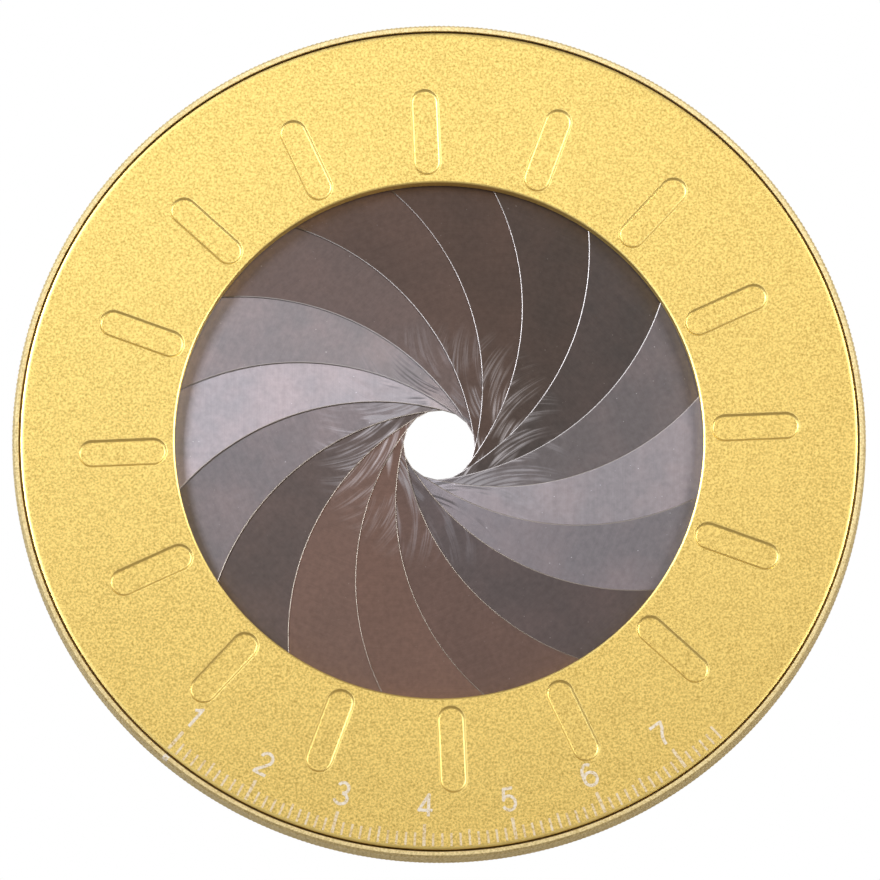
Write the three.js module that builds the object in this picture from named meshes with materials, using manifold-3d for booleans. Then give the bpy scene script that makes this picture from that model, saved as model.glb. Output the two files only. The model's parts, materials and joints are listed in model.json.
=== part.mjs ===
// Iris circle template: a flat ring whose graduated plate turns in a housing and swings sixteen
// thin crescent blades, so that the round hole that they leave in the middle opens and closes.
// Sizes are in millimetres and angles in degrees. +Z is up, the origin is on the turning axis and
// z = 0 is the underside of the housing. The model stands at its smallest hole.

import * as THREE from 'three';
import { mergeVertices } from 'three/addons/utils/BufferGeometryUtils.js';
import Module from 'manifold-3d';

const wasm = await Module();
wasm.setup();

// The iris
const bladeCount = 16;
const largestHole = 75;
const smallestHole = 10;
const openingMargin = 0.25; // plate and floor stand back this far from the largest hole
const bladeWidth = 15.4;
const bladeThickness = 0.1;
const bladeGap = 0.08; // height kept between one blade and the next
const orbitShare = 0.6; // share of a blade's climb that goes round the turning axis, not its own arc
const firstBladeAngle = 187; // direction of the middle of blade 01

// The pins of a blade: one turns in the housing floor, the other runs in a slot of the plate
const pinRadius = 1;
const spigotRadius = 0.6; // the thin end of a pin, which sits in the blade
const spigotClearance = 0.05;
const shoulderGap = 0.03; // between a pin's shoulder and the face of its blade
const pivotDepth = 0.85; // depth of a pivot hole in the floor
const pivotClearance = 0.12;
const drivePinOutset = 1.1; // the drive pin stands this far outside the middle line of its blade
const slotDepth = 0.9;
const slotClearance = 0.15;
const pinEndClearance = 0.15; // between a pin's end and the bottom of its hole or slot

// The housing
const floorThickness = 1.4;
const stackClearance = 0.12; // under the lowest blade and over the highest
const bladeRunClearance = 0.6; // between the blades' ends and the cavity wall
const ledgeWidth = 5.5;
const lipWidth = 0.9;
const footChamfer = 2.8; // undercut round the lower edge, so that fingers can lift the ring
const lipChamfer = 0.25;

// The scale plate
const plateThickness = 2;
const plateSeam = 0.3; // between the plate's edge and the housing's lip
const plateRest = 0.05; // between the plate and its ledge
const plateEdgeChamfer = 0.15;
const recessWidth = 4;
const recessLength = 12.7;
const recessMargin = 1.15; // from the opening's edge to the inner end of a finger recess
const recessDepth = 0.3;
const firstRecessAngle = 2.4;

// The retaining wire, a spring ring that lies half in the plate's edge and half in the lip
const wireRadius = 0.4;
const wireBite = 0.28; // how far the wire reaches into the plate's edge
const wireClearance = 0.12;
const wireOpening = 9; // the gap between the wire's two ends, in degrees

// How finely round shapes are faceted
const ringSegments = 64;
const pinSegments = 8;
const bandSteps = 20;
const endSteps = [0.45, 0.75, 0.95]; // where a blade's rounded end is stepped, as shares of its radius
const middleRow = -0.3; // where the row of points between a blade's two edges runs, from -1 to 1

const degree = Math.PI / 180;
const step = 360 / bladeCount;

// What follows from them: at the largest hole the arc centre of every blade is on the turning axis
const bladeArcRadius = largestHole / 2;
const centreOffset = bladeArcRadius - smallestHole / 2;
const openingRadius = bladeArcRadius + openingMargin;
const pivotCircle = bladeArcRadius + bladeWidth / 2;
const driveCircle = pivotCircle + drivePinOutset;
const bladeSwing = 2 * Math.asin(centreOffset / 2 / pivotCircle) / degree;
const pivotTurn = Math.acos(centreOffset / 2 / pivotCircle) / degree; // from a blade's middle to its pivot
const driveTurn = Math.acos(centreOffset / 2 / driveCircle) / degree; // from its middle to its drive pin
const plateTravel = 180 + bladeSwing - 2 * driveTurn;
const climbPerDegree = (bladeThickness + bladeGap) / (orbitShare * step);

// A point of a blade lying along +X, by its angle and radius about the blade's own arc centre
function bladePoint(angle, radius) {
  return new THREE.Vector2(
    radius * Math.cos(angle * degree) - centreOffset,
    radius * Math.sin(angle * degree),
  );
}

// Each blade climbs from its pivot end to its drive end, so that every one passes over its neighbour
// on one side and under its neighbour on the other, all the way round the ring
function climb(point) {
  const aboutAxis = Math.atan2(point.y, point.x) / degree;
  const aboutArc = Math.atan2(point.y, point.x + centreOffset) / degree;
  return climbPerDegree * (orbitShare * aboutAxis + (1 - orbitShare) * aboutArc);
}

const pivotPoint = bladePoint(-pivotTurn, pivotCircle);
const drivePoint = bladePoint(driveTurn, driveCircle);

// The columns of points along a blade: closer together in the middle, where it climbs fastest
function bladeColumns() {
  const columns = [];
  const endReach = bladeWidth / 2 / pivotCircle / degree;
  const endColumn = (turn, side, share) => columns.push({
    angle: side * (turn + share * endReach),
    halfWidth: bladeWidth / 2 * Math.sqrt(1 - share * share),
  });
  for (const share of [...endSteps].reverse()) {
    endColumn(pivotTurn, -1, share);
  }
  for (let i = 0; i <= bandSteps; i += 1) {
    const across = 2 * i / bandSteps - 1;
    const spread = 0.7 * across + 0.3 * across ** 3;
    columns.push({ angle: (across < 0 ? pivotTurn : driveTurn) * spread, halfWidth: bladeWidth / 2 });
  }
  for (const share of endSteps) {
    endColumn(driveTurn, 1, share);
  }
  return columns;
}

const columns = bladeColumns();
const rows = [-1, middleRow, 1];

function columnPoint(column, row) {
  return bladePoint(column.angle, pivotCircle + row * column.halfWidth);
}

// Heights, from the underside up
const climbReach = Math.max(
  ...columns.flatMap((column) => rows.map((row) => Math.abs(climb(columnPoint(column, row))))),
);
const stackHeight = 2 * (climbReach + stackClearance) + bladeThickness;
const stackMiddle = floorThickness + stackHeight / 2;
const ledgeHeight = floorThickness + stackHeight;
const plateUnderside = ledgeHeight + plateRest;
const topHeight = plateUnderside + plateThickness;

// Radii, from the opening out
const cavityRadius = driveCircle + bladeWidth / 2 + bladeRunClearance;
const lipInnerRadius = cavityRadius + ledgeWidth;
const outerRadius = lipInnerRadius + lipWidth;
const plateRadius = lipInnerRadius - plateSeam;
const wireCircle = plateRadius - wireBite + wireRadius;
const wireHeight = plateUnderside + plateThickness / 2;

function toSolid(geometry) {
  const bare = geometry.clone();
  bare.deleteAttribute('normal');
  bare.deleteAttribute('uv');
  const merged = mergeVertices(bare);
  return new wasm.Manifold(new wasm.Mesh({
    numProp: 3,
    vertProperties: Float32Array.from(merged.attributes.position.array),
    triVerts: Uint32Array.from(merged.index.array),
  }));
}

function toGeometry(solid) {
  const mesh = solid.getMesh();
  const geometry = new THREE.BufferGeometry();
  geometry.setAttribute('position', new THREE.BufferAttribute(Float32Array.from(mesh.vertProperties), 3));
  geometry.setIndex(new THREE.BufferAttribute(Uint32Array.from(mesh.triVerts), 1));
  geometry.computeVertexNormals();
  return geometry;
}

// A solid turned about Z, from its [radius, height] profile, which runs up its outer side
function turned(profile, segments) {
  const points = profile.map(([radius, height]) => new THREE.Vector2(radius, height));
  return new THREE.LatheGeometry(points, segments).rotateX(Math.PI / 2);
}

function turnedRing(profile) {
  return turned([...profile, profile[0]], ringSegments);
}

// An upright rod for cutting a round hole
function rod(radius, bottom, top, x, y) {
  const geometry = new THREE.CylinderGeometry(radius, radius, top - bottom, pinSegments);
  return geometry.rotateX(Math.PI / 2).translate(x, y, (top + bottom) / 2);
}

// An upright bar with round ends, lying along the radius at an angle
function roundEndedBar(innerEnd, outerEnd, width, bottom, top, angle) {
  const shape = new THREE.Shape();
  shape.absarc(outerEnd - width / 2, 0, width / 2, -Math.PI / 2, Math.PI / 2);
  shape.absarc(innerEnd + width / 2, 0, width / 2, Math.PI / 2, Math.PI * 3 / 2);
  const geometry = new THREE.ExtrudeGeometry(shape, {
    depth: top - bottom,
    bevelEnabled: false,
    curveSegments: 6,
  });
  return geometry.translate(0, 0, bottom).rotateZ(angle * degree);
}

// How far out a blade's drive pin is, and how far it strays sideways from its slot, over the travel
function drivePinPath() {
  const samples = 60;
  const path = { inner: Infinity, outer: 0, stray: 0 };
  const restAngle = Math.atan2(drivePoint.y, drivePoint.x);
  for (let i = 0; i <= samples; i += 1) {
    const turn = -bladeSwing * degree * i / samples;
    const pin = drivePoint.clone().rotateAround(pivotPoint, turn);
    const slotAngle = restAngle - plateTravel * degree * i / samples;
    const stray = pin.length() * Math.abs(Math.sin(Math.atan2(pin.y, pin.x) - slotAngle));
    path.inner = Math.min(path.inner, pin.length());
    path.outer = Math.max(path.outer, pin.length());
    path.stray = Math.max(path.stray, stray);
  }
  return path;
}

const bladeAngles = Array.from({ length: bladeCount }, (_, i) => firstBladeAngle + i * step);

function buildHousing() {
  const wireGroove = wireCircle + wireRadius + wireClearance;
  let housing = toSolid(turnedRing([
    [openingRadius, 0],
    [outerRadius - footChamfer, 0],
    [outerRadius, footChamfer],
    [outerRadius, topHeight - lipChamfer],
    [outerRadius - lipChamfer, topHeight],
    [lipInnerRadius, topHeight],
    [lipInnerRadius, wireHeight + wireRadius + wireClearance],
    [wireGroove, wireHeight + wireRadius + wireClearance],
    [wireGroove, wireHeight - wireRadius - wireClearance],
    [lipInnerRadius, wireHeight - wireRadius - wireClearance],
    [lipInnerRadius, ledgeHeight],
    [cavityRadius, ledgeHeight],
    [cavityRadius, floorThickness],
    [openingRadius, floorThickness],
  ]));
  const holeBottom = floorThickness - pivotDepth;
  for (const angle of bladeAngles) {
    const place = pivotPoint.clone().rotateAround(new THREE.Vector2(), angle * degree);
    const hole = rod(pinRadius + pivotClearance, holeBottom, floorThickness + 1, place.x, place.y);
    housing = housing.subtract(toSolid(hole));
  }
  return toGeometry(housing);
}

function buildScalePlate() {
  const wireGroove = wireCircle - wireRadius - wireClearance;
  let plate = toSolid(turnedRing([
    [openingRadius, plateUnderside],
    [plateRadius, plateUnderside],
    [plateRadius, wireHeight - wireRadius - wireClearance],
    [wireGroove, wireHeight - wireRadius - wireClearance],
    [wireGroove, wireHeight + wireRadius + wireClearance],
    [plateRadius, wireHeight + wireRadius + wireClearance],
    [plateRadius, topHeight - plateEdgeChamfer],
    [plateRadius - plateEdgeChamfer, topHeight],
    [openingRadius, topHeight],
  ]));
  const path = drivePinPath();
  const sideRoom = pinRadius + slotClearance;
  const slotBottom = plateUnderside + slotDepth;
  const restAngle = Math.atan2(drivePoint.y, drivePoint.x) / degree;
  const recessInnerEnd = openingRadius + recessMargin;
  for (let i = 0; i < bladeCount; i += 1) {
    const slot = roundEndedBar(
      path.inner - sideRoom,
      path.outer + sideRoom + path.stray,
      2 * (path.stray + sideRoom),
      plateUnderside - 1,
      slotBottom,
      restAngle + bladeAngles[i],
    );
    const recess = roundEndedBar(
      recessInnerEnd,
      recessInnerEnd + recessLength,
      recessWidth,
      topHeight - recessDepth,
      topHeight + 1,
      firstRecessAngle + i * step,
    );
    plate = plate.subtract(toSolid(slot)).subtract(toSolid(recess));
  }
  return toGeometry(plate);
}

function buildRetainingWire() {
  class WirePath extends THREE.Curve {
    getPoint(share, target = new THREE.Vector3()) {
      const angle = (wireOpening / 2 + share * (360 - wireOpening)) * degree;
      return target.set(wireCircle * Math.cos(angle), wireCircle * Math.sin(angle), wireHeight);
    }
  }
  const section = new THREE.Shape();
  section.absarc(0, 0, wireRadius, 0, 2 * Math.PI);
  return new THREE.ExtrudeGeometry(section, {
    steps: ringSegments,
    curveSegments: 3,
    bevelEnabled: false,
    extrudePath: new WirePath(),
  });
}

// A blade as a thin sheet, the same outline above and below, climbing from end to end
function buildBlade() {
  const perSide = columns.length * rows.length;
  const positions = [];
  for (const side of [1, -1]) {
    for (const column of columns) {
      for (const row of rows) {
        const point = columnPoint(column, row);
        positions.push(point.x, point.y, stackMiddle + climb(point) + side * bladeThickness / 2);
      }
    }
  }
  const indices = [];
  const quad = (a, b, c, d) => indices.push(a, b, c, a, c, d);
  const at = (column, row) => column * rows.length + row;
  for (let column = 0; column < columns.length - 1; column += 1) {
    for (let row = 0; row < rows.length - 1; row += 1) {
      const corners = [at(column, row), at(column, row + 1), at(column + 1, row + 1), at(column + 1, row)];
      quad(...corners);
      quad(...corners.reverse().map((corner) => corner + perSide));
    }
  }
  const edge = [];
  for (let column = 0; column < columns.length - 1; column += 1) {
    edge.push(at(column, 0));
  }
  for (let row = 0; row < rows.length - 1; row += 1) {
    edge.push(at(columns.length - 1, row));
  }
  for (let column = columns.length - 1; column > 0; column -= 1) {
    edge.push(at(column, rows.length - 1));
  }
  for (let row = rows.length - 1; row > 0; row -= 1) {
    edge.push(at(0, row));
  }
  edge.forEach((here, i) => {
    const next = edge[(i + 1) % edge.length];
    quad(here, next, next + perSide, here + perSide);
  });
  const sheet = new THREE.BufferGeometry();
  sheet.setAttribute('position', new THREE.Float32BufferAttribute(positions, 3));
  sheet.setIndex(indices);
  let blade = toSolid(sheet);
  for (const point of [pivotPoint, drivePoint]) {
    const height = stackMiddle + climb(point);
    const hole = rod(spigotRadius + spigotClearance, height - 1, height + 1, point.x, point.y);
    blade = blade.subtract(toSolid(hole));
  }
  return toGeometry(blade);
}

// The pivot pin: its wide end hangs below the blade, in the floor's hole
function buildPivotPin() {
  const bladeHeight = stackMiddle + climb(pivotPoint);
  const shoulder = bladeHeight - bladeThickness / 2 - shoulderGap;
  const pin = turned([
    [0, floorThickness - pivotDepth + pinEndClearance],
    [pinRadius, floorThickness - pivotDepth + pinEndClearance],
    [pinRadius, shoulder],
    [spigotRadius, shoulder],
    [spigotRadius, bladeHeight + bladeThickness / 2],
    [0, bladeHeight + bladeThickness / 2],
  ], pinSegments);
  return pin.translate(pivotPoint.x, pivotPoint.y, 0);
}

// The drive pin: its wide end stands above the blade, in the plate's slot
function buildDrivePin() {
  const bladeHeight = stackMiddle + climb(drivePoint);
  const shoulder = bladeHeight + bladeThickness / 2 + shoulderGap;
  const pin = turned([
    [0, bladeHeight - bladeThickness / 2],
    [spigotRadius, bladeHeight - bladeThickness / 2],
    [spigotRadius, shoulder],
    [pinRadius, shoulder],
    [pinRadius, plateUnderside + slotDepth - pinEndClearance],
    [0, plateUnderside + slotDepth - pinEndClearance],
  ], pinSegments);
  return pin.translate(drivePoint.x, drivePoint.y, 0);
}

function named(name, geometry, color, roughness) {
  const material = new THREE.MeshStandardMaterial({ color, roughness, metalness: 1 });
  const mesh = new THREE.Mesh(geometry, material);
  mesh.name = name;
  return mesh;
}

const goldAluminium = 0xe6c067;
const bladeSteel = 0x8c7f79;
const pinSteel = 0xb4b2ae;

const template = new THREE.Group();
template.add(named('housing', buildHousing(), goldAluminium, 0.5));
template.add(named('scale_plate', buildScalePlate(), goldAluminium, 0.5));
template.add(named('retaining_wire', buildRetainingWire(), pinSteel, 0.35));

const bladeGeometry = buildBlade();
const pivotPinGeometry = buildPivotPin();
const drivePinGeometry = buildDrivePin();
bladeAngles.forEach((angle, i) => {
  const number = String(i + 1).padStart(2, '0');
  const set = new THREE.Group();
  set.rotation.z = angle * degree;
  set.add(named(`blade_${number}`, bladeGeometry, bladeSteel, 0.4));
  set.add(named(`pivot_pin_${number}`, pivotPinGeometry, pinSteel, 0.35));
  set.add(named(`drive_pin_${number}`, drivePinGeometry, pinSteel, 0.35));
  template.add(set);
});

export default template;
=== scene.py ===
import json
from math import acos, asin, atan2, cos, degrees, hypot, pi, radians, sin

import bpy
import bmesh
import numpy as np
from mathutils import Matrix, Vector
from mathutils.geometry import delaunay_2d_cdt


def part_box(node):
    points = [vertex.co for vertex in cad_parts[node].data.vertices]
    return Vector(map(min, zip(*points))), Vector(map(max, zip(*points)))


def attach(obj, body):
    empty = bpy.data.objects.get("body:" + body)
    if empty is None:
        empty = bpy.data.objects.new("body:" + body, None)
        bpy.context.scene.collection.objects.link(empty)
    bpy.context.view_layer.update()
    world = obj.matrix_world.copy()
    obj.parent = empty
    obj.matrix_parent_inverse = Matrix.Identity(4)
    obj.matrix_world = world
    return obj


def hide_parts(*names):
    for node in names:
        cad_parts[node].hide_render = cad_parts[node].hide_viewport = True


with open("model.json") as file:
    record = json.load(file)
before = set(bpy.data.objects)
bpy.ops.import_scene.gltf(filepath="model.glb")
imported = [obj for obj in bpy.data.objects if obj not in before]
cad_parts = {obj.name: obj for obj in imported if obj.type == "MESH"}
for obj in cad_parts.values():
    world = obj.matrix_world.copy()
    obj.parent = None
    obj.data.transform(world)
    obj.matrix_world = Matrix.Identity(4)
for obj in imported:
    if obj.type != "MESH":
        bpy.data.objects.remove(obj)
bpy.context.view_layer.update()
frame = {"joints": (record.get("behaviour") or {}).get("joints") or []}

mm = 0.001  # sizes are in millimetres down to the stage; meshes are made in metres


def nodeBox(node):
    # where the frame puts a part, in millimetres
    low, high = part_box(node)
    return [value / mm for value in low], [value / mm for value in high]


_, housingHigh = nodeBox("housing")
plateLow, plateHigh = nodeBox("scale_plate")
wireLow, wireHigh = nodeBox("retaining_wire")
pivotPinLow, pivotPinHigh = nodeBox("pivot_pin_01")
drivePinLow, drivePinHigh = nodeBox("drive_pin_01")
bladeLow, bladeHigh = nodeBox("blade_01")
joints = {joint["name"]: joint for joint in frame["joints"]}
bladeNumbers = [f"{number:02d}" for number in range(1, len(joints))]

ring = dict(
    openingRadius=37.75,
    outerRadius=housingHigh[0],
    height=housingHigh[2],
    printHeight=0.02,  # the printed marks are this thick, and level with the frame's top
)
faceHeight = ring["height"] - ring["printHeight"]

iris = dict(
    bladeCount=len(bladeNumbers),
    largestHole=75,
    smallestHole=10,
    bladeWidth=15.4,
    thickness=0.1,
    gap=0.08,  # between one blade and the next in the stack
    orbitShare=0.6,  # share of a blade's climb that goes round the turning axis
    firstAngle=187,  # where the middle of blade 01 points
    driveOutset=1.1,  # the drive pin sits this far outside the pivot pins' circle
    spigotHole=0.65,
)


def report(text):
    print(f"circle template: {text}")


def circleAt(radius, height, count):
    points = []
    for i in range(count):
        angle = 2 * pi * i / count
        points.append((radius * cos(angle), radius * sin(angle), height))
    return points


def addLoop(mesh, points):
    return [mesh.verts.new(point) for point in points]


def bridge(mesh, loopA, loopB):
    # both loops run the same way; faces look out when loopB is above and they run counterclockwise
    count = len(loopA)
    for i in range(count):
        j = (i + 1) % count
        mesh.faces.new((loopA[i], loopA[j], loopB[j], loopB[i]))


def insideLoop(xs, ys, loop):
    # even-odd test of many points against one closed outline
    inside = np.zeros(len(xs), dtype=bool)
    for i in range(len(loop)):
        x1, y1 = loop[i]
        x2, y2 = loop[(i + 1) % len(loop)]
        if y1 == y2:
            continue
        crosses = (y1 > ys) != (y2 > ys)
        inside ^= crosses & (xs < (x2 - x1) * (ys - y1) / (y2 - y1) + x1)
    return inside


def fillFlat(mesh, loops, extra=(), faceUp=True):
    # fills between closed loops seen from above, holes left open, through the extra points
    verts = [vert for loop in loops for vert in loop] + list(extra)
    flat = [Vector((vert.co.x, vert.co.y)) for vert in verts]
    edges = []
    start = 0
    for loop in loops:
        count = len(loop)
        edges += [(start + i, start + (i + 1) % count) for i in range(count)]
        start += count
    found = delaunay_2d_cdt(flat, edges, [], 0, 1e-6, True)
    coords, faces, source = found[0], found[2], found[3]
    middleX = np.array([sum(coords[i][0] for i in face) / 3 for face in faces])
    middleY = np.array([sum(coords[i][1] for i in face) / 3 for face in faces])
    kept = np.zeros(len(faces), dtype=bool)
    for loop in loops:
        kept ^= insideLoop(middleX, middleY, [(vert.co.x, vert.co.y) for vert in loop])
    for face, keep in zip(faces, kept):
        if not keep:
            continue
        corners = [verts[source[i][0]] for i in face]
        mesh.faces.new(corners if faceUp else corners[::-1])


def toMetres(name, mesh):
    bmesh.ops.recalc_face_normals(mesh, faces=mesh.faces)
    bmesh.ops.scale(mesh, vec=(mm, mm, mm), verts=mesh.verts)
    data = bpy.data.meshes.new(name)
    mesh.to_mesh(data)
    mesh.free()
    return data


def finishPiece(name, mesh, material, body, creaseAngle=30, turn=0.0):
    return placePiece(name, toMetres(name, mesh), material, body, creaseAngle, turn)


def placePiece(name, data, material, body, creaseAngle=30, turn=0.0):
    data.materials.clear()
    data.materials.append(material)
    data.polygons.foreach_set("use_smooth", [True] * len(data.polygons))
    data.set_sharp_from_angle(angle=radians(creaseAngle))
    piece = bpy.data.objects.new(name, data)
    piece.rotation_euler.z = turn
    bpy.context.scene.collection.objects.link(piece)
    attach(piece, body)
    return piece


def newMaterial(name):
    material = bpy.data.materials.new(name)
    material.use_nodes = True
    tree = material.node_tree
    shader = tree.nodes["Principled BSDF"]
    return material, tree, shader


def addNode(tree, kind, **settings):
    node = tree.nodes.new(kind)
    for key, value in settings.items():
        setattr(node, key, value)
    return node


def link(tree, source, target):
    tree.links.new(source, target)


def noise(tree, vector, scale, detail=2.0, roughness=0.5):
    node = addNode(tree, "ShaderNodeTexNoise")
    node.inputs["Scale"].default_value = scale
    node.inputs["Detail"].default_value = detail
    node.inputs["Roughness"].default_value = roughness
    link(tree, vector, node.inputs["Vector"])
    return node.outputs["Fac"]


def ramp(tree, value, stops):
    # each stop is (place, grey or colour)
    node = addNode(tree, "ShaderNodeValToRGB")
    while len(node.color_ramp.elements) < len(stops):
        node.color_ramp.elements.new(0.5)
    for element, (place, colour) in zip(node.color_ramp.elements, stops):
        element.position = place
        element.color = (*colour, 1) if isinstance(colour, tuple) else (colour, colour, colour, 1)
    link(tree, value, node.inputs["Fac"])
    return node.outputs["Color"]


def mapRange(tree, value, low, high, newLow, newHigh):
    node = addNode(tree, "ShaderNodeMapRange")
    limits = {"From Min": low, "From Max": high, "To Min": newLow, "To Max": newHigh}
    for name, number in limits.items():
        node.inputs[name].default_value = number
    link(tree, value, node.inputs["Value"])
    return node.outputs["Result"]


def mixColour(tree, factor, colourA, colourB, blend="MIX"):
    node = addNode(tree, "ShaderNodeMix", data_type="RGBA", blend_type=blend)
    sockets = [socket for socket in node.inputs if socket.type == "RGBA"]
    for socket, colour in zip(sockets, (colourA, colourB)):
        if isinstance(colour, tuple):
            socket.default_value = (*colour, 1)
        else:
            link(tree, colour, socket)
    if isinstance(factor, float):
        node.inputs["Factor"].default_value = factor
    else:
        link(tree, factor, node.inputs["Factor"])
    return [socket for socket in node.outputs if socket.type == "RGBA"][0]


def bump(tree, height, strength, distance, normal=None):
    node = addNode(tree, "ShaderNodeBump")
    node.inputs["Strength"].default_value = strength
    node.inputs["Distance"].default_value = distance
    link(tree, height, node.inputs["Height"])
    if normal is not None:
        link(tree, normal, node.inputs["Normal"])
    return node.outputs["Normal"]


def multiply(tree, first, second):
    node = addNode(tree, "ShaderNodeMath", operation="MULTIPLY")
    link(tree, first, node.inputs[0])
    link(tree, second, node.inputs[1])
    return node.outputs[0]


# the gold finish: bead-blasted aluminium, anodised
blastedGold = dict(
    light=(0.97, 0.725, 0.22),
    dark=(0.51, 0.335, 0.07),
    grain=0.34,  # mm across one blasted pit
    sparkle=0.16,
    cloud=14,  # mm across a patch where the finish is handled smooth
    cloudShare=0.1,
    roughness=0.62,
    roughnessSpread=0.08,
    pitDepth=0.008,  # mm
    cutTone=(1.0, 0.76, 0.24),  # slopes cut after blasting
    cutShine=0.22,  # and how much less rough they are
)


def makeGold(name, values):
    material, tree, shader = newMaterial(name)
    place = addNode(tree, "ShaderNodeTexCoord").outputs["Object"]
    grain = noise(tree, place, 1 / (values["grain"] * mm), 3.0, 0.75)
    sparkle = noise(tree, place, 1 / (values["sparkle"] * mm), 1.0, 0.5)
    cloud = noise(tree, place, 1 / (values["cloud"] * mm), 2.0, 0.5)
    tone = ramp(tree, grain, [(0.3, values["dark"]), (0.6, values["light"])])
    handled = mapRange(tree, cloud, 0.35, 0.7, 0.0, values["cloudShare"])
    worn = mixColour(tree, handled, tone, values["light"])
    cut = addNode(tree, "ShaderNodeAttribute", attribute_name="cut").outputs["Fac"]
    link(tree, mixColour(tree, cut, worn, values["cutTone"]), shader.inputs["Base Color"])
    shader.inputs["Metallic"].default_value = 1.0
    smoother = addNode(tree, "ShaderNodeMath", operation="MULTIPLY_ADD")
    smoother.inputs[1].default_value = -values["cutShine"]
    link(tree, cut, smoother.inputs[0])
    roughness, spread = values["roughness"], values["roughnessSpread"]
    blasted = mapRange(tree, sparkle, 0.3, 0.7, roughness - spread, roughness + spread)
    link(tree, blasted, smoother.inputs[2])
    link(tree, smoother.outputs[0], shader.inputs["Roughness"])
    fine = bump(tree, sparkle, 0.5, values["pitDepth"] * mm)
    link(tree, bump(tree, grain, 0.5, 2 * values["pitDepth"] * mm, fine), shader.inputs["Normal"])
    return material


# the housing is paler, as its anodising has worn
knurledGold = dict(blastedGold, light=(0.97, 0.79, 0.4), dark=(0.62, 0.45, 0.16), roughness=0.58)
goldFace = makeGold("blastedGold", blastedGold)
goldEdge = makeGold("knurledGold", knurledGold)

# the steel of the blades: cold-rolled, with rub marks where blades slide on each other, and with painted
# warm reflection, painted shade and painted highlights set blade by blade
rolledSteel = dict(
    base=(0.278, 0.24, 0.221),
    stainAndReflectionTone=(0.76, 0.5, 0.42),  # the tone of stains, and of a painted warm reflection on blades that show on given sides
    rubHighlightAndDust=(0.9, 0.83, 0.77),  # a painted highlight on the rub marks, and the colour of dust specks
    rubShade=(0.15, 0.13, 0.12),  # and painted shade on the rub marks
    edgeBurnishAndHighlight=(0.4, 0.345, 0.285),  # the burnished line along the inner arc, lightened further as a painted highlight of the edge
    shownTurn=115,  # from a blade's middle to the side where it shows when the iris is closed
    warmReflectionSides=((280, 0.88), (118, 0.34)),  # (side, strength): where blades show with a painted warm reflection
    shadeSides=((345, 0.32), (116, 0.16)),  # (side, strength): where blades are darkened with painted shade
    rubShadeSide=-10,  # rub marks get painted shade on blades that show on this side and the opposite one, a painted highlight between them
    stainShare=0.13,
    dustShare=0.4,
    roughness=0.41,
    anisotropy=0.74,
    sheetShift=37.0,  # mm between the places of the sheet that two blades are cut from
    grainTurn=15.0,  # direction of the rolling grain, from the blade's own middle line
    grainLength=14.0,  # mm
    grainWidth=0.12,
    rubLength=9.0,  # mm along a mark
    rubWidth=0.34,
    rubRoughness=0.45,  # added where a neighbour has rubbed
    rubTurn=34,  # degrees the marks are turned from a pure slide, as loose blades tilt a little
    rubFull=8.0,  # marks are strongest within this radius of the ring's middle
    rubReach=19.0,  # and fade out by this one
    rubShare=0.85,
    edgeLineReach=0.18,  # how far the burnished and highlighted line reaches in from the inner arc
)


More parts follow.
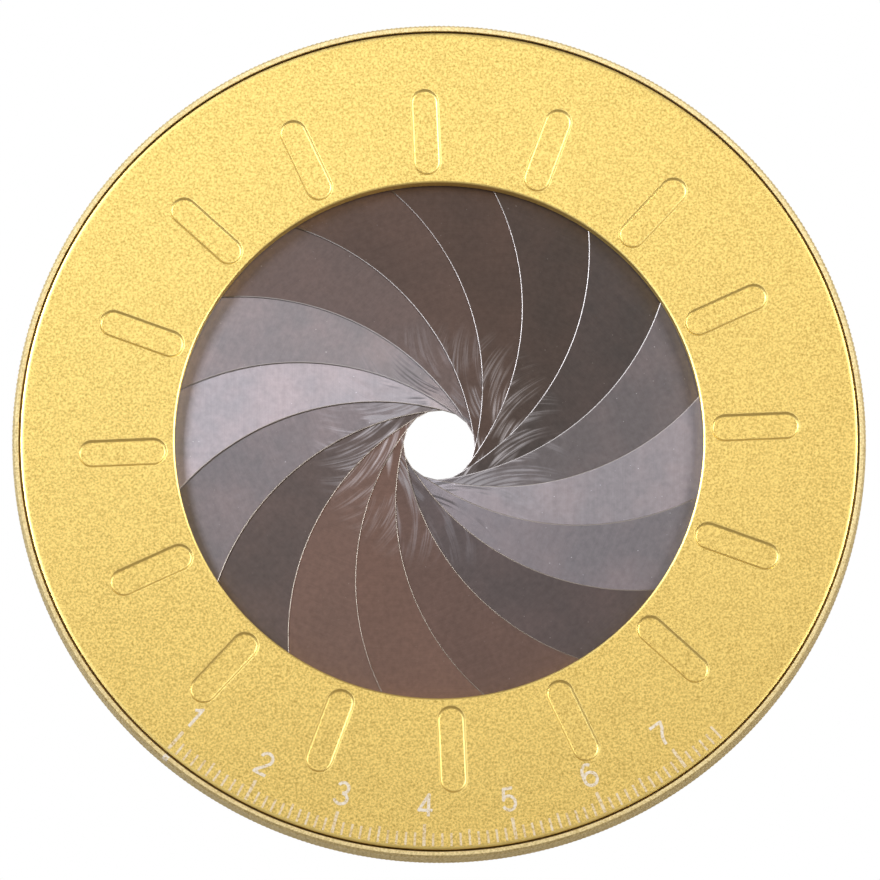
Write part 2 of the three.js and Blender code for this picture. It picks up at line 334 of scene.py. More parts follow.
def makeBladeSteel(values):
    material, tree, shader = newMaterial("rolledSteel")
    maps = {}
    for name in ("grain", "arc", "rub"):
        maps[name] = addNode(tree, "ShaderNodeUVMap", uv_map=name).outputs["UV"]
    place = addNode(tree, "ShaderNodeTexCoord").outputs["Object"]

    def attribute(name):
        return addNode(tree, "ShaderNodeAttribute", attribute_name=name).outputs["Fac"]

    def streaks(vector, length, width, detail=2.0):
        stretch = addNode(tree, "ShaderNodeMapping")
        stretch.inputs["Scale"].default_value = (1 / length, 1 / width, 1)
        link(tree, vector, stretch.inputs["Vector"])
        return noise(tree, stretch.outputs["Vector"], 1.0, detail, 0.55)

    rolling = streaks(maps["grain"], values["grainLength"], values["grainWidth"])
    stains = noise(tree, maps["grain"], 0.1, 3.0, 0.6)
    mottle = noise(tree, maps["grain"], 1.1, 3.0, 0.65)
    fromMiddle = addNode(tree, "ShaderNodeVectorMath", operation="LENGTH")
    link(tree, place, fromMiddle.inputs[0])
    distance = fromMiddle.outputs["Value"]
    nearMiddle = mapRange(tree, distance, values["rubFull"] * mm, values["rubReach"] * mm, 1.0, 0.0)
    # fine lines, gathered in bundles, near the middle only
    rubLines = streaks(maps["rub"], values["rubLength"], values["rubWidth"], 2.0)
    rubBundles = streaks(maps["rub"], 0.8 * values["rubLength"], 6 * values["rubWidth"], 1.0)
    rubLines = mapRange(tree, rubLines, 0.45, 0.6, 0.1, 1.0)
    rubBundles = mapRange(tree, rubBundles, 0.43, 0.55, 0.0, 1.0)
    rubs = multiply(tree, multiply(tree, rubLines, rubBundles), nearMiddle)
    # the rub marks are real wear; their tone runs from painted shade to a painted highlight, by the side
    # where the blade shows
    paintedRubLight = mixColour(tree, attribute("rubHighlight"), values["rubShade"], values["rubHighlightAndDust"])
    dust = noise(tree, maps["grain"], 2.4, 1.0, 0.5)
    specks = mapRange(tree, dust, 0.772, 0.8, 0.0, values["dustShare"])
    across = addNode(tree, "ShaderNodeSeparateXYZ")
    link(tree, maps["arc"], across.inputs[0])
    edge = mapRange(tree, across.outputs["Y"], 0.04, values["edgeLineReach"], 1.0, 0.0)
    # stains, plus a painted warm reflection on the blades that show on given sides
    stainsAndReflection = addNode(tree, "ShaderNodeMath", operation="ADD", use_clamp=True)
    link(tree, mapRange(tree, stains, 0.4, 0.68, 0.0, values["stainShare"]), stainsAndReflection.inputs[0])
    link(tree, attribute("paintedWarmReflection"), stainsAndReflection.inputs[1])
    tone = mixColour(tree, stainsAndReflection.outputs[0], values["base"], values["stainAndReflectionTone"])
    # painted shade: blades that show on given sides are darkened towards black
    tone = mixColour(tree, attribute("paintedShade"), tone, (0.0, 0.0, 0.0))
    tone = mixColour(tree, 1.0, tone, ramp(tree, rolling, [(0.3, 0.93), (0.7, 1.0)]), "MULTIPLY")
    tone = mixColour(tree, 1.0, tone, ramp(tree, mottle, [(0.3, 0.82), (0.7, 1.0)]), "MULTIPLY")
    tone = mixColour(tree, mapRange(tree, rubs, 0.0, 1.0, 0.0, values["rubShare"]), tone, paintedRubLight)
    tone = mixColour(tree, specks, tone, values["rubHighlightAndDust"])
    # the line along the inner arc: burnish, with a painted highlight
    link(tree, mixColour(tree, edge, tone, values["edgeBurnishAndHighlight"]), shader.inputs["Base Color"])
    shader.inputs["Metallic"].default_value = 1.0
    shader.inputs["Anisotropic"].default_value = values["anisotropy"]
    shader.inputs["Anisotropic Rotation"].default_value = 0.25
    tangent = addNode(tree, "ShaderNodeTangent", direction_type="UV_MAP", uv_map="grain")
    link(tree, tangent.outputs["Tangent"], shader.inputs["Tangent"])
    roughest = values["roughness"] + values["rubRoughness"]
    rough = mapRange(tree, rubs, 0.0, 1.0, values["roughness"], roughest)
    link(tree, rough, shader.inputs["Roughness"])
    link(tree, bump(tree, rolling, 0.08, 0.004 * mm), shader.inputs["Normal"])
    return material


bladeSteel = makeBladeSteel(rolledSteel)

# the steel of the pins and of the retaining wire
turnedSteel = dict(
    colour=(0.62, 0.61, 0.6),
    roughness=0.3,
    grain=0.2,  # mm
)
brownedWire = dict(
    colour=(0.3, 0.19, 0.08),
    roughness=0.4,
    grain=0.3,
)


def makePlainSteel(name, values):
    # turned or drawn steel, mottled finely
    material, tree, shader = newMaterial(name)
    colour, roughness = values["colour"], values["roughness"]
    darker = tuple(0.8 * value for value in colour)
    place = addNode(tree, "ShaderNodeTexCoord").outputs["Object"]
    mottle = noise(tree, place, 1 / (values["grain"] * mm), 3.0, 0.6)
    link(tree, ramp(tree, mottle, [(0.3, darker), (0.7, colour)]), shader.inputs["Base Color"])
    shader.inputs["Metallic"].default_value = 1.0
    rough = mapRange(tree, mottle, 0.3, 0.7, roughness + 0.08, roughness - 0.05)
    link(tree, rough, shader.inputs["Roughness"])
    link(tree, bump(tree, mottle, 0.3, 0.004 * mm), shader.inputs["Normal"])
    return material


pinSteel = makePlainSteel("turnedSteel", turnedSteel)
wireSteel = makePlainSteel("brownedWire", brownedWire)

# the white ink of the scale, which lets some gold through
screenPrint = dict(
    digitThin=(0.82, 0.66, 0.42),  # where the ink is worn thin
    digitFull=(0.92, 0.82, 0.64),
    tickThin=(0.8, 0.58, 0.28),
    tickFull=(0.9, 0.75, 0.48),
    grain=0.32,  # mm
    roughness=0.55,
)


def makePrint(name, thin, full):
    # screen print, with the gold showing through where the ink has gone
    material, tree, shader = newMaterial(name)
    place = addNode(tree, "ShaderNodeTexCoord").outputs["Object"]
    wear = noise(tree, place, 1 / (screenPrint["grain"] * mm), 3.0, 0.7)
    ink = ramp(tree, wear, [(0.34, blastedGold["dark"]), (0.44, thin), (0.62, full)])
    link(tree, ink, shader.inputs["Base Color"])
    shader.inputs["Roughness"].default_value = screenPrint["roughness"]
    link(tree, bump(tree, wear, 0.3, 0.006 * mm), shader.inputs["Normal"])
    return material


digitPaint = makePrint("digitPrint", screenPrint["digitThin"], screenPrint["digitFull"])
tickPaint = makePrint("tickPrint", screenPrint["tickThin"], screenPrint["tickFull"])
report("materials made")

# the housing: lip, knurled side, ledge and floor
housingShape = dict(
    segments=1120,  # two for each tooth of the knurl
    toothDepth=0.11,
    cavityRadius=54.6,
    lipWidth=0.9,
    lipSlope=((0.12, 0), (0.04, 0.02), (0, 0.08)),  # (outset, drop) at the lip's inner edge
    floorThickness=1.4,
    ledgeHeight=plateLow[2] - 0.05,
    footChamfer=2.8,
    footRise=0.15,  # the teeth reach their full depth this far above the chamfer
    edgeRound=0.12,
    bevelWidth=0.34,  # the knurl runs up over this bevel
    bevelDrop=0.3,
    grooveHalf=0.52,  # half the height of the wire's groove
    grooveDepth=0.44,
    pivotHole=1.12,  # radius of the blind holes in the floor
    pivotDepth=0.85,
    pivotPoints=24,
)
wireMiddle = (wireLow[2] + wireHigh[2]) / 2


def makeHousing(values):
    mesh = bmesh.new()
    outer = ring["outerRadius"]
    lipInner = outer - values["lipWidth"]
    count = values["segments"]
    rounding = values["edgeRound"]
    smooth = [
        (ring["openingRadius"] + rounding, 0),
        (outer - values["footChamfer"] - rounding, 0),
        (outer - values["footChamfer"] - 0.02, 0.02),
        (outer - values["toothDepth"] - rounding, values["footChamfer"] - rounding),
    ]
    bevelTop = outer - values["bevelWidth"]
    top = [
        (bevelTop, faceHeight),
        (bevelTop - 0.06, faceHeight),
        *((lipInner + outset, faceHeight - drop) for outset, drop in values["lipSlope"]),
        (lipInner, wireMiddle + values["grooveHalf"]),
        (lipInner + values["grooveDepth"], wireMiddle + values["grooveHalf"]),
        (lipInner + values["grooveDepth"], wireMiddle - values["grooveHalf"]),
        (lipInner, wireMiddle - values["grooveHalf"]),
        (lipInner, values["ledgeHeight"]),
        (values["cavityRadius"], values["ledgeHeight"]),
        (values["cavityRadius"], values["floorThickness"]),
    ]
    bevelFoot = faceHeight - values["bevelDrop"]
    knurl = [  # (radius, height, share of the tooth depth)
        (outer, values["footChamfer"], 0.5),
        (outer, values["footChamfer"] + values["footRise"], 1.0),
        (outer, bevelFoot - 0.05, 1.0),
        (outer - 0.06, bevelFoot + 0.04, 1.0),
        (bevelTop + 0.07, faceHeight - 0.05, 0.7),
    ]

    def knurledCircle(crest, height, share):
        points = []
        for i in range(count):
            angle = 2 * pi * i / count
            radius = crest - values["toothDepth"] * (share if i % 2 else 0.0)
            points.append((radius * cos(angle), radius * sin(angle), height))
        return points

    loops = [addLoop(mesh, circleAt(radius, height, count)) for radius, height in smooth]
    loops += [addLoop(mesh, knurledCircle(*step)) for step in knurl]
    loops += [addLoop(mesh, circleAt(radius, height, count)) for radius, height in top]
    for i in range(len(loops) - 1):
        bridge(mesh, loops[i], loops[i + 1])
    # the opening's wall, then the floor of the cavity with its blind pivot holes
    wall = [
        (ring["openingRadius"] + rounding, values["floorThickness"]),
        (ring["openingRadius"], values["floorThickness"] - rounding),
        (ring["openingRadius"], rounding),
    ]
    inner = [addLoop(mesh, circleAt(radius, height, count // 2)) for radius, height in wall]
    bridge(mesh, inner[0], inner[1])
    bridge(mesh, inner[1], inner[2])
    holes = []
    for number in bladeNumbers:
        x, y, _ = (value / mm for value in joints[f"blade_{number}_swing"]["pos_m"])
        holeCircle = circleAt(values["pivotHole"], 0, values["pivotPoints"])
        rims = []
        for height in (values["floorThickness"], values["floorThickness"] - values["pivotDepth"]):
            points = [(x + px, y + py, height) for px, py, _ in holeCircle]
            rims.append(addLoop(mesh, points))
        bridge(mesh, rims[0], rims[1])
        mesh.faces.new(rims[1])
        holes.append(rims[0])
    fillFlat(mesh, [loops[-1], inner[0], *holes])
    fillFlat(mesh, [loops[0], inner[2]], faceUp=False)  # the underside
    return finishPiece("housingRing", mesh, goldEdge, "housing")


housing = makeHousing(housingShape)
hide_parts("housing")
report("housing made")

# the scale plate: finger recesses above, drive-pin slots below
plateShape = dict(
    segments=480,
    openingSegments=384,
    # (inset, drop) at the outer edge, and then at the opening
    edgeSlope=((0, 0.17), (0.05, 0.09), (0.2, 0.045), (0.5, 0.01), (0.68, 0), (0.85, 0)),
    wellSlope=((0.5, 0), (0.36, 0), (0.2, 0.03), (0.06, 0.12), (0, 0.25)),
    grooveDepth=0.4,
    recessLength=12.7,
    recessWidth=4.0,
    recessMargin=1.15,
    recessDepth=0.3,
    # (inset, share of the depth) from the face to the bottom
    recessSlope=((-0.2, 0), (-0.1, 0), (0.02, 0.08), (0.28, 0.86), (0.4, 1), (0.52, 1)),
    firstRecess=2.4,  # degrees
    slotSide=1.15,  # round a drive pin
    slotDepth=0.9,
    cutFrom=0.02,  # surfaces between these two depths count as cut slopes
    cutTo=0.28,
)


def turnedAbout(point, centre, angle):
    x, y = point[0] - centre[0], point[1] - centre[1]
    turnedX = centre[0] + x * cos(angle) - y * sin(angle)
    turnedY = centre[1] + x * sin(angle) + y * cos(angle)
    return (turnedX, turnedY)


# the iris: every blade is an arc, and swings about a pin at one of its ends
bladeStep = 360 / iris["bladeCount"]
bladeArc = iris["largestHole"] / 2
centreOffset = bladeArc - iris["smallestHole"] / 2
pivotCircle = bladeArc + iris["bladeWidth"] / 2
driveCircle = pivotCircle + iris["driveOutset"]
bladeSwing = 2 * asin(centreOffset / 2 / pivotCircle)
pivotTurn = acos(centreOffset / 2 / pivotCircle)
driveTurn = acos(centreOffset / 2 / driveCircle)
plateTravel = pi + bladeSwing - 2 * driveTurn


def bladePoint(angle, radius):
    # on a blade lying along +X, by angle and radius about the blade's own arc centre
    return (radius * cos(angle) - centreOffset, radius * sin(angle))


pivotPoint = bladePoint(-pivotTurn, pivotCircle)
drivePoint = bladePoint(driveTurn, driveCircle)


def drivePinPath(steps=60):
    # nearest and farthest a drive pin gets from the middle, and how far it strays sideways
    inner, outer, stray = 1e9, 0.0, 0.0
    restAngle = atan2(drivePoint[1], drivePoint[0])
    for i in range(steps + 1):
        share = i / steps
        x, y = turnedAbout(drivePoint, pivotPoint, -bladeSwing * share)
        distance = hypot(x, y)
        inner, outer = min(inner, distance), max(outer, distance)
        stray = max(stray, distance * abs(sin(atan2(y, x) - restAngle + plateTravel * share)))
    return inner, outer, stray


def roundEndedLoop(innerEnd, outerEnd, halfWidth, angle, height, endPoints=16):
    points = []
    for end, start in ((outerEnd - halfWidth, -pi / 2), (innerEnd + halfWidth, pi / 2)):
        for i in range(endPoints + 1):
            turn = start + pi * i / endPoints
            points.append((end + halfWidth * cos(turn), halfWidth * sin(turn)))
    return [(*turnedAbout(point, (0, 0), angle), height) for point in points]


def sinkPocket(mesh, innerEnd, outerEnd, halfWidth, angle, steps):
    # each step is (how far in from the outline, height), from the face to the bottom
    loops = []
    for inset, height in steps:
        outline = roundEndedLoop(innerEnd + inset, outerEnd - inset, halfWidth - inset, angle, height)
        loops.append(addLoop(mesh, outline))
    for upper, lower in zip(loops, loops[1:]):
        bridge(mesh, upper, lower)
    mesh.faces.new(loops[-1])
    return loops[0]


def makePlate(values):
    mesh = bmesh.new()
    outer = plateHigh[0]
    under = plateLow[2]
    groove = values["grooveDepth"]
    grooveFoot = wireMiddle - housingShape["grooveHalf"]
    grooveTop = wireMiddle + housingShape["grooveHalf"]
    rim = [
        (outer, under),
        (outer, grooveFoot),
        (outer - groove, grooveFoot),
        (outer - groove, grooveTop),
        (outer, grooveTop),
    ]
    rim += [(outer - inset, faceHeight - drop) for inset, drop in values["edgeSlope"]]
    well = [(ring["openingRadius"] + inset, faceHeight - drop) for inset, drop in values["wellSlope"]]
    well.append((ring["openingRadius"], under))
    rimCount, wellCount = values["segments"], values["openingSegments"]
    rimLoops = [addLoop(mesh, circleAt(radius, height, rimCount)) for radius, height in rim]
    wellLoops = [addLoop(mesh, circleAt(radius, height, wellCount)) for radius, height in well]
    for loops in (rimLoops, wellLoops):
        for lower, upper in zip(loops, loops[1:]):
            bridge(mesh, lower, upper)
    recessInner = ring["openingRadius"] + values["recessMargin"]
    recessOuter = recessInner + values["recessLength"]
    recessAngle = radians(values["firstRecess"])
    half = values["recessWidth"] / 2
    depth = values["recessDepth"]
    recessSteps = [(inset, faceHeight - share * depth) for inset, share in values["recessSlope"]]
    pathInner, pathOuter, stray = drivePinPath()
    side = values["slotSide"]
    slotInner, slotOuter = pathInner - side, pathOuter + side + stray
    slotAngle = atan2(drivePoint[1], drivePoint[0]) + radians(iris["firstAngle"])
    slotSteps = [(0, under), (0, under + values["slotDepth"])]
    recesses, slots = [], []
    for i in range(iris["bladeCount"]):
        turn = radians(i * bladeStep)
        recesses.append(sinkPocket(mesh, recessInner, recessOuter, half, recessAngle + turn, recessSteps))
        slots.append(sinkPocket(mesh, slotInner, slotOuter, side + stray, slotAngle + turn, slotSteps))
    fillFlat(mesh, [rimLoops[-1], wellLoops[0], *recesses])
    fillFlat(mesh, [rimLoops[0], wellLoops[-1], *slots], faceUp=False)
    return finishPiece("scalePlate", mesh, goldFace, "scale_plate", creaseAngle=25)


def markCuts(piece, values):
    # the slopes round the recesses and at the plate's two edges
    places = np.empty(len(piece.data.vertices) * 3)
    piece.data.vertices.foreach_get("co", places)
    drop = faceHeight - places[2::3] / mm
    layer = piece.data.attributes.new("cut", "FLOAT", "POINT")
    cut = (drop > values["cutFrom"]) & (drop < values["cutTo"])
    layer.data.foreach_set("value", cut.astype(np.float32))


plate = makePlate(plateShape)
markCuts(plate, plateShape)
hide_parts("scale_plate")
report("scale plate made")

# the printed scale: centimetres of hole diameter, with a tick for each millimetre
scale = dict(
    firstAngle=229.5,  # where the reading 1 stands
    degreesPerCentimetre=12.8,
    firstReading=10,  # in millimetres
    lastReading=75,
    outerRadius=59.33,
    longTick=3.2,
    halfTick=2.3,
    shortTick=1.9,
    longWidth=0.46,
    shortWidth=0.33,
    digitTop=51.85,  # radius of the digits' tops, which point to the middle
    digitHeight=3.15,
    digitMiddle=0.31,  # half of a digit's width, as a share of its height
    digitStroke=0.44,
    sunk=0.004,  # how far the print goes into the face
    indexAngle=230.0,
    indexWidth=0.85,
    indexThickness=0.06,
)


def slab(mesh, outline, bottom, top):
    # a thin closed block from an outline of (x, y) points
    lower = addLoop(mesh, [(x, y, bottom) for x, y in outline])
    upper = addLoop(mesh, [(x, y, top) for x, y in outline])
    bridge(mesh, lower, upper)
    mesh.faces.new(upper)
    mesh.faces.new(lower[::-1])


def radialBar(mesh, innerRadius, outerRadius, width, angle, bottom, top):
    half = width / 2
    outline = [(innerRadius, -half), (outerRadius, -half), (outerRadius, half), (innerRadius, half)]
    slab(mesh, [turnedAbout(point, (0, 0), angle) for point in outline], bottom, top)


def arcPoints(centre, radii, start, end, steps=14):
    points = []
    for i in range(steps + 1):
        angle = radians(start + (end - start) * i / steps)
        points.append((centre[0] + radii[0] * cos(angle), centre[1] + radii[1] * sin(angle)))
    return points


# the strokes of each digit, in a box one unit high with the foot at zero
digitStrokes = {
    1: [[(0.08, 0.76), (0.2, 0.83), (0.34, 1.0), (0.34, 0.0)]],
    2: [arcPoints((0.31, 0.72), (0.27, 0.28), 172, -35) + [(0.06, 0.08), (0.02, 0.0), (0.6, 0.0)]],
    3: [arcPoints((0.29, 0.755), (0.24, 0.245), 160, -90),
        arcPoints((0.29, 0.255), (0.29, 0.255), 90, -165)],
    4: [[(0.46, 0.0), (0.46, 1.0), (0.02, 0.28), (0.64, 0.28)]],
    5: [[(0.56, 1.0), (0.15, 1.0), (0.07, 0.5)] + arcPoints((0.29, 0.33), (0.29, 0.33), 135, -160)],
    6: [arcPoints((0.34, 0.5), (0.3, 0.5), 55, 180)[:-1]
        + arcPoints((0.33, 0.31), (0.29, 0.31), 180, 540, 24)],
    7: [[(0.02, 1.0), (0.6, 1.0)] + arcPoints((0.95, 0.0), (0.72, 0.88), 128, 180, 8)],
}


def strokePieces(path, width, discPoints=12):
    # a flat stroke of even width: a rectangle along each stretch and a disc at each bend
    points = [Vector(point) for point in path]
    pieces = []
    for before, after in zip(points, points[1:]):
        along = (after - before).normalized()
        side = Vector((-along.y, along.x)) * width / 2
        pieces.append([before - side, after - side, after + side, before + side])
    for point in points[1:-1]:
        disc = circleAt(width / 2, 0, discPoints)
        pieces.append([point + Vector((x, y)) for x, y, _ in disc])
    return pieces


def addPlate(mesh, pieces, bottom, top):
    # one closed thin plate that covers all the convex pieces, overlaps joined
    flat, faces = [], []
    for piece in pieces:
        faces.append(tuple(range(len(flat), len(flat) + len(piece))))
        flat += piece
    found = delaunay_2d_cdt(flat, [], faces, 1, 1e-5, True)
    covered = [face for face, source in zip(found[2], found[5]) if source]
    edges = {}
    for face in covered:
        for i in range(len(face)):
            a, b = face[i], face[(i + 1) % len(face)]
            edges[frozenset((a, b))] = None if frozenset((a, b)) in edges else (a, b)
    used = sorted({i for face in covered for i in face})
    lower = {i: mesh.verts.new((*found[0][i], bottom)) for i in used}
    upper = {i: mesh.verts.new((*found[0][i], top)) for i in used}
    for face in covered:
        mesh.faces.new([upper[i] for i in face])
        mesh.faces.new([lower[i] for i in reversed(face)])
    for edge in edges.values():
        if edge:
            a, b = edge
            mesh.faces.new((lower[a], lower[b], upper[b], upper[a]))


def makeScale(values):
    low, high = faceHeight - values["sunk"], ring["height"]
    outer = values["outerRadius"]
    ticks = bmesh.new()
    for reading in range(values["firstReading"], values["lastReading"] + 1):
        centimetres = (reading - values["firstReading"]) / 10
        angle = values["firstAngle"] + centimetres * values["degreesPerCentimetre"]
        length, width = values["shortTick"], values["shortWidth"]
        if reading % 10 == 0:
            length, width = values["longTick"], values["longWidth"]
        elif reading % 5 == 0:
            length = values["halfTick"]
        radialBar(ticks, outer - length, outer, width, radians(angle), low, high)
    finishPiece("scaleTicks", ticks, tickPaint, "scale_plate")
    digits = bmesh.new()
    for number, strokes in digitStrokes.items():
        angle = radians(values["firstAngle"] + (number - 1) * values["degreesPerCentimetre"])
        pieces = []
        for stroke in strokes:
            for piece in strokePieces(stroke, values["digitStroke"] / values["digitHeight"]):
                pieces.append([Vector(digitPlace(values, angle, corner)) for corner in piece])
        addPlate(digits, pieces, low, high)
    finishPiece("scaleDigits", digits, digitPaint, "scale_plate")


def digitPlace(values, angle, point):
    # digits stand with their feet outward
    across = (point.x - values["digitMiddle"]) * values["digitHeight"]
    radius = values["digitTop"] + (1 - point.y) * values["digitHeight"]
    return turnedAbout((radius, across), (0, 0), angle)


def makeIndex(values):
    # a painted line that follows the lip's flat top and its bevel
    lipInner = ring["outerRadius"] - housingShape["lipWidth"]
    bevelTop = ring["outerRadius"] - housingShape["bevelWidth"]
    top = ring["height"]
    profile = [
        (lipInner + 0.08, top),
        (bevelTop + 0.02, top),
        (ring["outerRadius"] - 0.02, top - housingShape["bevelDrop"] + 0.02),
    ]
    mesh = bmesh.new()
    half = values["indexWidth"] / 2
    angle = radians(values["indexAngle"])
    loops = []
    for radius, height in profile:
        backRadius, backHeight = radius - 0.05, height - values["indexThickness"]
        outline = [
            (radius, -half, height),
            (radius, half, height),
            (backRadius, half, backHeight),
            (backRadius, -half, backHeight),
        ]
        points = [(*turnedAbout(point, (0, 0), angle), point[2]) for point in outline]
        loops.append(addLoop(mesh, points))
    bridge(mesh, loops[0], loops[1])
    bridge(mesh, loops[1], loops[2])
    mesh.faces.new(loops[0])
    mesh.faces.new(loops[-1])
    finishPiece("indexMark", mesh, digitPaint, "housing")


makeScale(scale)
makeIndex(scale)
report("scale printed")

# the blades, all from one sheet of steel
bladeShape = dict(
    columns=96,
    rows=7,
    endPoints=20,
    # (inset, drop) from the burnished edge inward
    edgeSteps=((0, 0.034), (0.035, 0.019), (0.08, 0.006), (0.14, 0), (0.2, 0), (0.45, 0)),
    holePoints=16,
    holeClearance=1.0,  # no surface points nearer to a pin than this
)
stackMiddle = (bladeLow[2] + bladeHigh[2]) / 2
climbRate = (iris["thickness"] + iris["gap"]) / (iris["orbitShare"] * bladeStep)


def climb(x, y):
    # height of a blade over its own middle, so that it clears both neighbours
    aboutAxis = degrees(atan2(y, x))
    aboutArc = degrees(atan2(y, x + centreOffset))
    return climbRate * (iris["orbitShare"] * aboutAxis + (1 - iris["orbitShare"]) * aboutArc)


def onBlade(x, y, offset):
    # a point of the sheet, offset up or down from its middle surface
    return (x, y, stackMiddle + climb(x, y) + offset)


def bladeOutline(inset):
    # along the inner arc, round the drive end, back along the outer arc and round the pivot end
    half = iris["bladeWidth"] / 2 - inset
    columns, ends = bladeShape["columns"], bladeShape["endPoints"]
    sweep = [-pivotTurn + (pivotTurn + driveTurn) * i / columns for i in range(columns + 1)]

    def roundEnd(middle, start):
        centre = bladePoint(middle, pivotCircle)
        arounds = [start - pi * i / ends for i in range(1, ends)]
        return [(centre[0] + half * cos(around), centre[1] + half * sin(around)) for around in arounds]

    points = [bladePoint(angle, pivotCircle - half) for angle in sweep]
    points += roundEnd(driveTurn, driveTurn + pi)
    points += [bladePoint(angle, pivotCircle + half) for angle in reversed(sweep)]
    points += roundEnd(-pivotTurn, -pivotTurn)
    return points


def makeBladeMesh(values):
    mesh = bmesh.new()
    half = iris["thickness"] / 2
    sides = []
    for side in (1, -1):
        loops = []
        for inset, drop in values["edgeSteps"]:
            points = [onBlade(x, y, side * (half - drop)) for x, y in bladeOutline(inset)]
            loops.append(addLoop(mesh, points))
        for outerLoop, innerLoop in zip(loops, loops[1:]):
            bridge(mesh, outerLoop, innerLoop)
        holes = []
        for centreX, centreY in (pivotPoint, drivePoint):
            rim = circleAt(iris["spigotHole"], 0, values["holePoints"])
            points = [onBlade(centreX + x, centreY + y, side * half) for x, y, _ in rim]
            holes.append(addLoop(mesh, points))
        fillFlat(mesh, [loops[-1], *holes], surfacePoints(mesh, values, side * half), faceUp=side > 0)
        sides.append((loops[0], holes))
    bridge(mesh, sides[0][0], sides[1][0])
    for upper, lower in zip(sides[0][1], sides[1][1]):
        bridge(mesh, upper, lower)
    return toMetres("bladeSheet", mesh)


def surfacePoints(mesh, values, offset):
    # a grid of points along the blade, so that its flat sides can follow the climb
    points = []
    for row in range(1, values["rows"]):
        radius = pivotCircle + iris["bladeWidth"] * (row / values["rows"] - 0.5)
        for column in range(values["columns"]):
            angle = -pivotTurn + (pivotTurn + driveTurn) * (column + 0.5) / values["columns"]
            x, y = bladePoint(angle, radius)
            nearest = min(hypot(x - pinX, y - pinY) for pinX, pinY in (pivotPoint, drivePoint))
            if nearest > values["holeClearance"]:
                points.append(mesh.verts.new(onBlade(x, y, offset)))
    return points


def mapBlade(data, index, values):
    # three maps in millimetres: "grain" runs straight along the sheet, "arc" along the blade's own arc,
    # and "rub" along the arcs drawn by the neighbour that slides over it
    corners = np.empty(len(data.loops), dtype=np.int32)
    data.loops.foreach_get("vertex_index", corners)
    places = np.empty(len(data.vertices) * 3)
    data.vertices.foreach_get("co", places)
    places = places.reshape(-1, 3)[corners] / mm
    x, y = places[:, 0], places[:, 1]
    shift = values["sheetShift"] * index

    def turned(angle):
        return x * cos(angle) + y * sin(angle), y * cos(angle) - x * sin(angle)

    grainAlong, grainAcross = turned(radians(values["grainTurn"]))
    arcAlong = np.arctan2(y, x + centreOffset) * bladeArc
    arcAcross = np.hypot(x + centreOffset, y) - bladeArc
    # all blades turn alike, so each point of one draws the same arc on the next
    nextPivot = turnedAbout(pivotPoint, (0, 0), -radians(bladeStep))
    stepX, stepY = nextPivot[0] - pivotPoint[0], nextPivot[1] - pivotPoint[1]
    reach = hypot(stepX, stepY)
    away, sideways = turned(atan2(stepY, stepX) + bladeSwing / 2 + radians(values["rubTurn"]))
    swing = np.arcsin(np.clip(sideways / reach, -0.98, 0.98))
    rubAcross = away - reach * np.cos(swing)
    maps = {
        "grain": (grainAlong + shift, grainAcross),
        "arc": (arcAlong + shift, arcAcross),
        "rub": (swing * reach + shift, rubAcross),
    }
    for name, coords in maps.items():
        layer = data.uv_layers.new(name=name)
        layer.data.foreach_set("uv", np.stack(coords, axis=1).astype(np.float32).ravel())


def tintBlade(data, index, values):
    # how much painted warm reflection and painted shade the blade gets, and how far its rub marks go from
    # painted shade to a painted highlight, by the side where it shows
    shownSide = iris["firstAngle"] + index * bladeStep + values["shownTurn"]
    warmReflection = 0.0
    for side, strength in values["warmReflectionSides"]:
        warmReflection = max(warmReflection, strength * (3 * cos(radians(shownSide - side)) - 2))  # a narrow peak
    shadeStrength = 0.0
    for side, strength in values["shadeSides"]:
        shadeStrength += strength * max(0.0, cos(radians(shownSide - side)))
    # 0 gives the rub marks painted shade, 1 gives them a painted highlight
    rubHighlight = sin(radians(shownSide - values["rubShadeSide"])) ** 2
    for name, value in (("paintedWarmReflection", warmReflection), ("paintedShade", shadeStrength), ("rubHighlight", rubHighlight)):
        layer = data.attributes.new(name, "FLOAT", "POINT")
        layer.data.foreach_set("value", [value] * len(data.vertices))


bladeMesh = makeBladeMesh(bladeShape)
for index, number in enumerate(bladeNumbers):
    sheet = bladeMesh.copy()
    mapBlade(sheet, index, rolledSteel)
    tintBlade(sheet, index, rolledSteel)
    turn = radians(iris["firstAngle"] + index * bladeStep)
    blade = placePiece(f"bladeSheet_{number}", sheet, bladeSteel, f"blade_{number}", 40, turn)
    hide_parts(f"blade_{number}")
report("blades made")

# the pins and the retaining wire, hidden in the ring
pinShape = dict(
    segments=32,
    wideRadius=1.0,
    thinRadius=0.6,
    endChamfer=0.12,
    shoulderChamfer=0.036,
    shoulderGap=0.03,  # between the shoulder and the blade
)


def makePin(name, body, thinEnd, shoulder, wideEnd, place, turn):
    # a stepped pin that stands at one end of a blade
    wide, thin = pinShape["wideRadius"], pinShape["thinRadius"]
    endChamfer, shoulderChamfer = pinShape["endChamfer"], pinShape["shoulderChamfer"]
    toWide = 1 if wideEnd > thinEnd else -1
    profile = [
        (thin, thinEnd),
        (thin, shoulder),
        (wide - shoulderChamfer, shoulder),
        (wide, shoulder + toWide * shoulderChamfer),
        (wide, wideEnd - toWide * endChamfer),
        (wide - endChamfer, wideEnd),
    ]
    mesh = bmesh.new()
    loops = []
    for radius, height in profile:
        points = circleAt(radius, height, pinShape["segments"])
        loops.append(addLoop(mesh, [(x + place[0], y + place[1], z) for x, y, z in points]))
    for lower, upper in zip(loops, loops[1:]):
        bridge(mesh, lower, upper)
    mesh.faces.new(loops[0])
    mesh.faces.new(loops[-1])
    return finishPiece(name, mesh, pinSteel, body, 30, turn)


